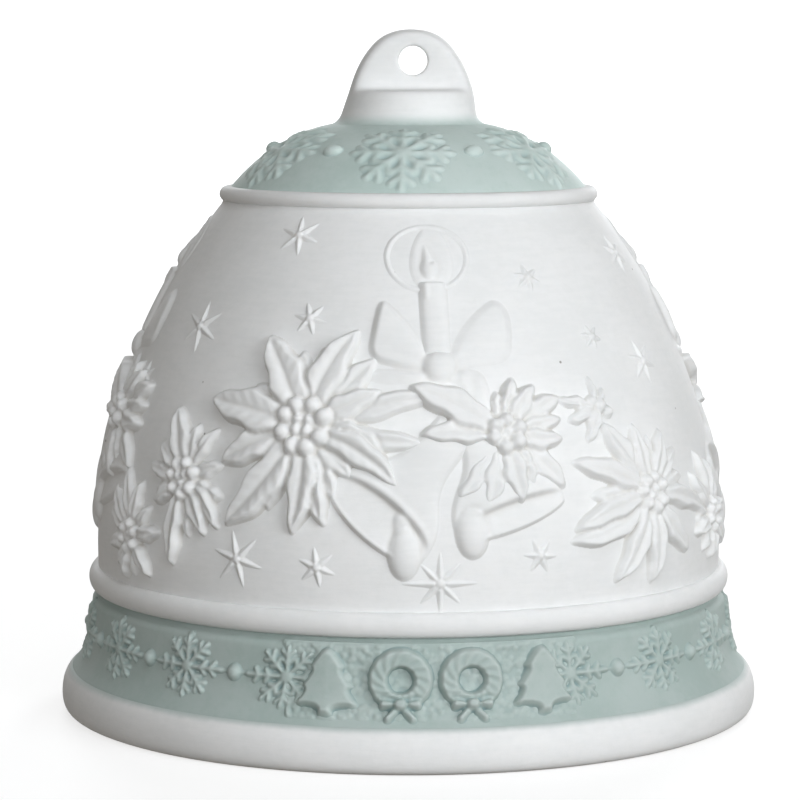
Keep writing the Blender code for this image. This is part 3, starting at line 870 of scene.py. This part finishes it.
def garlandShape(count, spacing):
    flake = snowflakeShape(garland["reach"], garland["arms"], garland["thick"], garland["rise"], garland["wide"])

    def shape(u, v):
        field = np.zeros_like(u)
        for i in range(count):
            at = (i - (count - 1) / 2) * spacing
            near = np.abs(u - at) < garland["reach"] * (1 + garland["wide"]) + 0.8
            field = np.maximum(field, flake(np.where(near, u - at, 99), v))
            field = ridgeOver(field, u, v, (at - spacing * 0.5, 0), (at + spacing * 0.5, 0), 0.34, 0.22)
            field = ballOver(field, u, v, (at + spacing * 0.5, 0), garland["pearl"], garland["pearl"], 0.75)
        return field

    return shape


def makeTrim():
    for side, turn in (("front", 0), ("back", 180)):
        laySheet(
            "holly_sprig_leaves_" + side, "wall", turn + holly["angle"], holly["height"], (-6.0, 5.2, -5.2, 4.6),
            hollyShape, "white", nodes=["holly_sprig_" + side],
        )
        for i, (angle, height, reach, rays, tilt) in enumerate(stars):
            edge = reach + 0.6
            laySheet(
                "star_%s_%d" % (side, i + 1), "wall", turn + angle, height, (-edge, edge, -edge, edge),
                starShape(reach, rays, tilt), "white", pitch=0.1,
            )
    step = 360 / crownTrim["count"]
    flake = snowflakeShape(crownTrim["reach"], 8, crownTrim["thick"], crownTrim["rise"])
    edge = crownTrim["reach"] + 0.7
    for i in range(crownTrim["count"]):
        name = "crown_snowflake_%d" % (i + 1)
        laySheet(
            name + "_relief", "crown", crownTrim["turn"] + step * i, crownTrim["height"],
            (-edge, edge, -edge, edge), flake, "sage", nodes=[name], soften=6,
        )
        laySheet(
            "crown_pearl_%d" % (i + 1), "crown", crownTrim["pearlTurn"] + step * i, crownTrim["pearlHeight"],
            (-1.7, 1.7, -1.5, 1.5), pearlShape, "sage", pitch=0.1,
        )
    spacing = (garland["end"] - garland["start"]) / (garland["flakes"] - 1)
    arc = math.radians(spacing) * bandRadius
    done = 0
    for i, count in enumerate(garland["counts"]):
        middle = garland["start"] + spacing * (done + (count - 1) / 2)
        half = arc * count / 2 + 1.0
        laySheet(
            "garland_%d" % (i + 1), "band", middle, garland["height"], (-half, half, -3.8, 3.8),
            garlandShape(count, arc), "band", nodes=["snowflake_garland"] if i == 0 else (), soften=2,
            pitch=0.12,
        )
        done += count
    print("holly, stars and snowflakes laid")


# the front panel: a stippled ground with two fir trees and two wreaths

panel = {"low": -26.3, "high": 23.0, "height": 9.1, "stipple": 0.22, "bumps": 700}
motifs = {"angles": (-18.9, -6.9, 4.6, 16.6), "height": 9.1, "rise": 1.15, "edge": 0.6}


def panelShape(u, v):
    rng = np.random.default_rng(11)
    field = np.full(u.shape, 0.05)
    halfWidth, halfHeight = u.max() - 0.5, v.max() - 0.5
    for _ in range(panel["bumps"]):
        x, y = rng.uniform(-halfWidth, halfWidth), rng.uniform(-halfHeight, halfHeight)
        size, rise = rng.uniform(0.22, 0.5), rng.uniform(0.5, 1.0) * panel["stipple"]
        near = np.hypot(u - x, v - y) / size
        field = np.maximum(field, 0.05 + rise * np.sqrt(np.clip(1 - near**2, 0, 1)))
    field += 0.16 * np.exp(-((u + halfWidth - 0.25) ** 2) / 0.06)  # the ground's left edge stands up a little
    inside = np.minimum(halfWidth - np.abs(u), halfHeight - np.abs(v))
    return field * eased(inside / 0.3 + 0.5)


def firShape(u, v):
    half = [(0.95, -3.9), (0.95, -2.8), (3.9, -2.8), (2.3, -0.7), (3.2, -0.7), (1.6, 1.4), (2.3, 1.4)]
    outline = rounded(half + [(0.0, 4.5)] + [(-x, y) for x, y in reversed(half)], 2)
    swell = motifs["rise"] * (1 - 0.04 * np.abs(u))
    return patchOver(np.zeros_like(u), u, v, outline, swell, edge=motifs["edge"])


def wreathShape(u, v):
    around = np.hypot(u, v - 0.35)
    ring = eased((1.2 - np.abs(around - 2.3)) / 0.55)
    leaves = 0.07 * np.sin(np.arctan2(v, u) * 14 + around * 4)
    field = ring * (motifs["rise"] * 0.95 + leaves)
    for way in (-1, 1):
        loop = rounded([(0, -2.1), (way * 2.2, -1.3), (way * 2.4, -3.1), (0, -2.6)], 2)
        field = patchOver(field, u, v, loop, motifs["rise"] * 1.1, edge=0.4)
        field = ridgeOver(field, u, v, (0, -2.4), (way * 1.3, -3.8), 0.95, 0.9, taper=0.8)
    return ballOver(field, u, v, (0, -2.3), 0.65, 0.65, 0.35, lift=motifs["rise"])


def makePanel():
    middle = (panel["low"] + panel["high"]) / 2
    half = math.radians(panel["high"] - panel["low"]) / 2 * bandRadius + 0.5
    size = (-half, half, -4.4, 4.4)
    laySheet("panel_ground", "band", middle, panel["height"], size, panelShape, "band", pitch=0.12)
    left, midLeft, midRight, right = motifs["angles"]
    for name, angle, shape in (
        ("fir_tree_left", left, firShape), ("wreath_left", midLeft, wreathShape),
        ("wreath_right", midRight, wreathShape), ("fir_tree_right", right, firShape),
    ):
        laySheet(
            name + "_block", "band", angle, motifs["height"], (-4.4, 4.4, -4.9, 4.9), shape, "band",
            nodes=[name], soften=2, pitch=0.1,
        )
    print("panel laid")


# lug

lug = {
    "cap": [
        (0, 76.0), (1.5, 75.9), (2.7, 75.5), (3.8, 74.85), (4.8, 73.75), (5.7, 72.4), (6.35, 71.0), (6.85, 69.5),
    ],
    "boss": [(7.2, 68.2), (7.45, 67.0), (7.62, 66.3), (7.85, 65.8), (8.4, 65.5), (9.6, 65.15), (10.2, 64.2)],
    "spigot": 4.7, "shoulder": 69.3, "tabHalf": 2.5, "holeRadius": 1.62, "hole": (0.5, 72.5), "lean": 0.3,
    "voxel": 0.2, "roundEdges": 34, "fineVoxel": 0.15, "soften": 5,
}


def box(low, high):
    bm = bmesh.new()
    bmesh.ops.create_cube(bm, size=1.0)
    low, high = Vector(low), Vector(high)
    bmesh.ops.scale(bm, verts=bm.verts, vec=high - low)
    bmesh.ops.translate(bm, verts=bm.verts, vec=(high + low) / 2)
    return bm


def helper(bm, name):
    mesh = bpy.data.meshes.new(name)
    bm.to_mesh(mesh)
    bm.free()
    made = bpy.data.objects.new(name, mesh)
    bpy.context.scene.collection.objects.link(made)
    return made


def settled(thing):
    # the object's shape with its modifiers done, as a bmesh; the object itself goes
    graph = bpy.context.evaluated_depsgraph_get()
    bm = bmesh.new()
    bm.from_mesh(thing.evaluated_get(graph).to_mesh())
    bpy.data.objects.remove(thing, do_unlink=True)
    return bm


def remade(bm, name, tools, voxel, soften):
    # cuts the tools away, remeshes and softens
    thing = helper(bm, name)
    for tool in tools:
        cut = thing.modifiers.new("cut", "BOOLEAN")
        cut.operation = "DIFFERENCE"
        cut.object = tool
    remesh = thing.modifiers.new("remesh", "REMESH")
    remesh.mode = "VOXEL"
    remesh.voxel_size = voxel
    bm = settled(thing)
    for tool in tools:
        bpy.data.objects.remove(tool, do_unlink=True)
    for _ in range(soften):
        bmesh.ops.smooth_vert(
            bm, verts=bm.verts, factor=0.5, use_axis_x=True, use_axis_y=True, use_axis_z=True
        )
    return bm


def makeLug():
    profile = smoothed(lug["cap"] + lug["boss"], 2)
    profile += [(lug["spigot"], 64.2), (lug["spigot"], lugFoot), (0, lugFoot)]
    slabs = []
    for way in (-1, 1):
        near, far = sorted((way * lug["tabHalf"], way * 12))
        slabs.append(helper(box((-12, near, lug["shoulder"]), (12, far, lugTop + 3)), "slab"))
    blank = remade(turn(profile, 96, onAxis=True), "lug blank", slabs, lug["voxel"], lug["roundEdges"])
    for vert in blank.verts:
        vert.co.x += lug["lean"] * eased((vert.co.z - crownTop) / 4)
    hole = bmesh.new()
    radius = lug["holeRadius"]
    bmesh.ops.create_cone(hole, cap_ends=True, segments=48, radius1=radius, radius2=radius, depth=20)
    x, z = lug["hole"]
    turned = Matrix.Translation((x, 0, z)) @ Matrix.Rotation(math.pi / 2, 4, "X")
    bmesh.ops.transform(hole, matrix=turned, verts=hole.verts)
    bm = remade(blank, "lug body", [helper(hole, "hole")], lug["fineVoxel"], lug["soften"])
    high = max(vert.co.z for vert in bm.verts)
    for vert in bm.verts:
        vert.co.z += (lugTop - 0.01 - high) * eased((vert.co.z - lug["shoulder"]) / (high - lug["shoulder"]))
    addPiece(bm, "hanger_lug_skin", "lug", nodes=["hanger_lug"])
    print("lug made")


# clapper: eye, link, loop and ball

clapper = {"wire": 0.45, "eye": 1.8, "loop": 1.5, "open": 50, "ball": 6.5, "play": 0.12}


def loopPoints(centre, radius, shank, along, count=40):
    spread = math.radians(360 - clapper["open"])
    points = []
    for i in range(count + 1):
        a = math.radians(shank) + spread * i / count
        away = radius * math.cos(a)
        points.append((along[0] * away, along[1] * away, centre + radius * math.sin(a)))
    return points


def wirePiece(name, points, body, node):
    curve = bpy.data.curves.new(name, "CURVE")
    curve.dimensions = "3D"
    curve.bevel_depth = clapper["wire"]
    curve.bevel_resolution = 6
    curve.use_fill_caps = True
    spline = curve.splines.new("POLY")
    spline.points.add(len(points) - 1)
    for spot, point in zip(spline.points, points):
        spot.co = (*point, 1)
    holder = bpy.data.objects.new(name, curve)
    bpy.context.scene.collection.objects.link(holder)
    bm = settled(holder)
    bmesh.ops.remove_doubles(bm, verts=bm.verts, dist=0.002)
    bmesh.ops.recalc_face_normals(bm, faces=bm.faces)
    addPiece(bm, name, "wire", body=body, nodes=[node])


def makeClapper():
    joints = {joint["name"]: joint["pos_m"][2] / mm for joint in frame["joints"]}
    upper, lower = joints["link_swing"], joints["clapper_swing"]
    radius = clapper["loop"]
    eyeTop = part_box("clapper_eye")[1].z / mm
    eye = [(0, 0, eyeTop)] + loopPoints(upper + clapper["eye"], clapper["eye"], 90, (1, 0))
    wirePiece("clapper_eye_wire", eye, "bell", "clapper_eye")
    high = loopPoints(upper - gap, radius, -90, (0, 1))
    low = loopPoints(lower + radius, radius, 90, (0, 1))
    wirePiece("clapper_link_wire", high[::-1] + low, "link", "clapper_link")
    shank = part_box("clapper_loop")[0].z / mm
    loop = [(0, 0, shank)] + loopPoints(lower - gap, radius, -90, (1, 0))
    wirePiece("clapper_loop_wire", loop, "clapper", "clapper_loop")
    low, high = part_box("clapper_ball")
    ball, neck = clapper["ball"], high.z / mm
    middle = low.z / mm + ball
    bore = clapper["wire"] + clapper["play"]
    profile = [(0, shank - gap), (bore, shank - gap), (bore, neck - 0.15), (bore + 0.2, neck)]
    profile += [(1.5, neck), (1.72, neck - 0.2), (1.85, neck - 0.9), (2.15, neck - 1.7)]
    angles = np.linspace(math.radians(34), math.pi, 40)
    profile += [(ball * math.sin(a), middle + ball * math.cos(a)) for a in angles]
    profile[-1] = (0, low.z / mm)
    bm = turn(profile[::-1], 96, onAxis=True)
    addPiece(bm, "clapper_ball_skin", "white", body="clapper", nodes=["clapper_ball"])
    print("clapper made")


makeShells()
makeFlowers()
makeCandles()
makeBells()
makeTrim()
makePanel()
makeLug()
makeClapper()


# stage


stage = {
    "radius": 1.7, "cove": 0.5, "height": 2.4, "paper": (0.4, 0.4, 0.4, 1), "glow": 0.7,
    "sky": (1.0, 0.86, 0.68, 1), "skyStrength": 0.105,
}


def makeStage():
    # a round white paper tent; its glow is seen but doesn't light the bell
    radius, cove = stage["radius"], stage["cove"]
    flat = radius - cove
    profile = [(flat * i / 4, 0) for i in range(5)]
    angles = np.linspace(0, math.pi / 2, 13)[1:]
    profile += [(flat + cove * math.sin(a), cove - cove * math.cos(a)) for a in angles]
    profile += [(radius, stage["height"])]
    tent = turn(profile, 96, onAxis=True)
    bmesh.ops.reverse_faces(tent, faces=tent.faces)
    mesh = bpy.data.meshes.new("paper tent")
    tent.to_mesh(mesh)
    tent.free()
    mesh.shade_smooth()
    paper = bpy.data.objects.new("paper_tent", mesh)
    bpy.context.scene.collection.objects.link(paper)
    made, shader, start, place = startMaterial("pale paper")
    shader.inputs["Base Color"].default_value = stage["paper"]
    shader.inputs["Roughness"].default_value = 0.9
    shader.inputs["Emission Color"].default_value = (1, 1, 1, 1)
    shader.inputs["Emission Strength"].default_value = stage["glow"]
    mesh.materials.append(made)
    paper.visible_diffuse = False


# lamps aim at the middle of the bell; turn and rise are in degrees, far and size in metres
lampAim = Vector((0, 0, 0.035))
daylight = (0.94, 0.97, 1.0)
lamps = {
    "front card": {"turn": -10, "rise": 8, "far": 0.9, "size": 0.5, "power": 2.85, "colour": daylight},
    "key": {"turn": 43, "rise": 10, "far": 0.9, "size": 0.6, "power": 6.3, "colour": daylight},
    "high front": {"turn": 12, "rise": 55, "far": 0.9, "size": 0.5, "power": 1.7, "colour": (0.88, 0.94, 1.0)},
    "back right": {"turn": 162, "rise": 12, "far": 1.55, "size": 0.4, "power": 10.0, "colour": daylight},
    "back left": {"turn": -170, "rise": 16, "far": 1.55, "size": 0.4, "power": 6.5, "colour": daylight},
}
view = {"lens": 143.25, "sensor": 36.0, "place": (-0.00095, -0.3571, 0.0735), "down": 6.245}


def addLamp(name, values):
    turned, rise = math.radians(values["turn"]), math.radians(values["rise"])
    away = Vector((math.sin(turned) * math.cos(rise), -math.cos(turned) * math.cos(rise), math.sin(rise)))
    spot = lampAim + away * values["far"]
    lamp = bpy.data.lights.new(name, "AREA")
    lamp.shape = "SQUARE"
    lamp.size = values["size"]
    lamp.energy = values["power"]
    lamp.color = values["colour"]
    holder = bpy.data.objects.new(name, lamp)
    holder.location = spot
    holder.rotation_euler = (lampAim - spot).to_track_quat("-Z", "Y").to_euler()
    holder.visible_camera = False
    bpy.context.scene.collection.objects.link(holder)


def makeView():
    world = bpy.data.worlds.new("studio")
    world.use_nodes = True
    background = world.node_tree.nodes["Background"]
    background.inputs[0].default_value = stage["sky"]
    background.inputs[1].default_value = stage["skyStrength"]
    bpy.context.scene.world = world
    bpy.context.scene.view_settings.view_transform = "Standard"
    for name, values in lamps.items():
        addLamp(name, values)
    camera = bpy.data.cameras.new("camera")
    camera.lens = view["lens"]
    camera.sensor_width = view["sensor"]
    eye = bpy.data.objects.new("camera", camera)
    eye.location = view["place"]
    eye.rotation_euler = (math.radians(90 - view["down"]), 0, 0)
    bpy.context.scene.collection.objects.link(eye)
    bpy.context.scene.camera = eye


makeStage()
makeView()
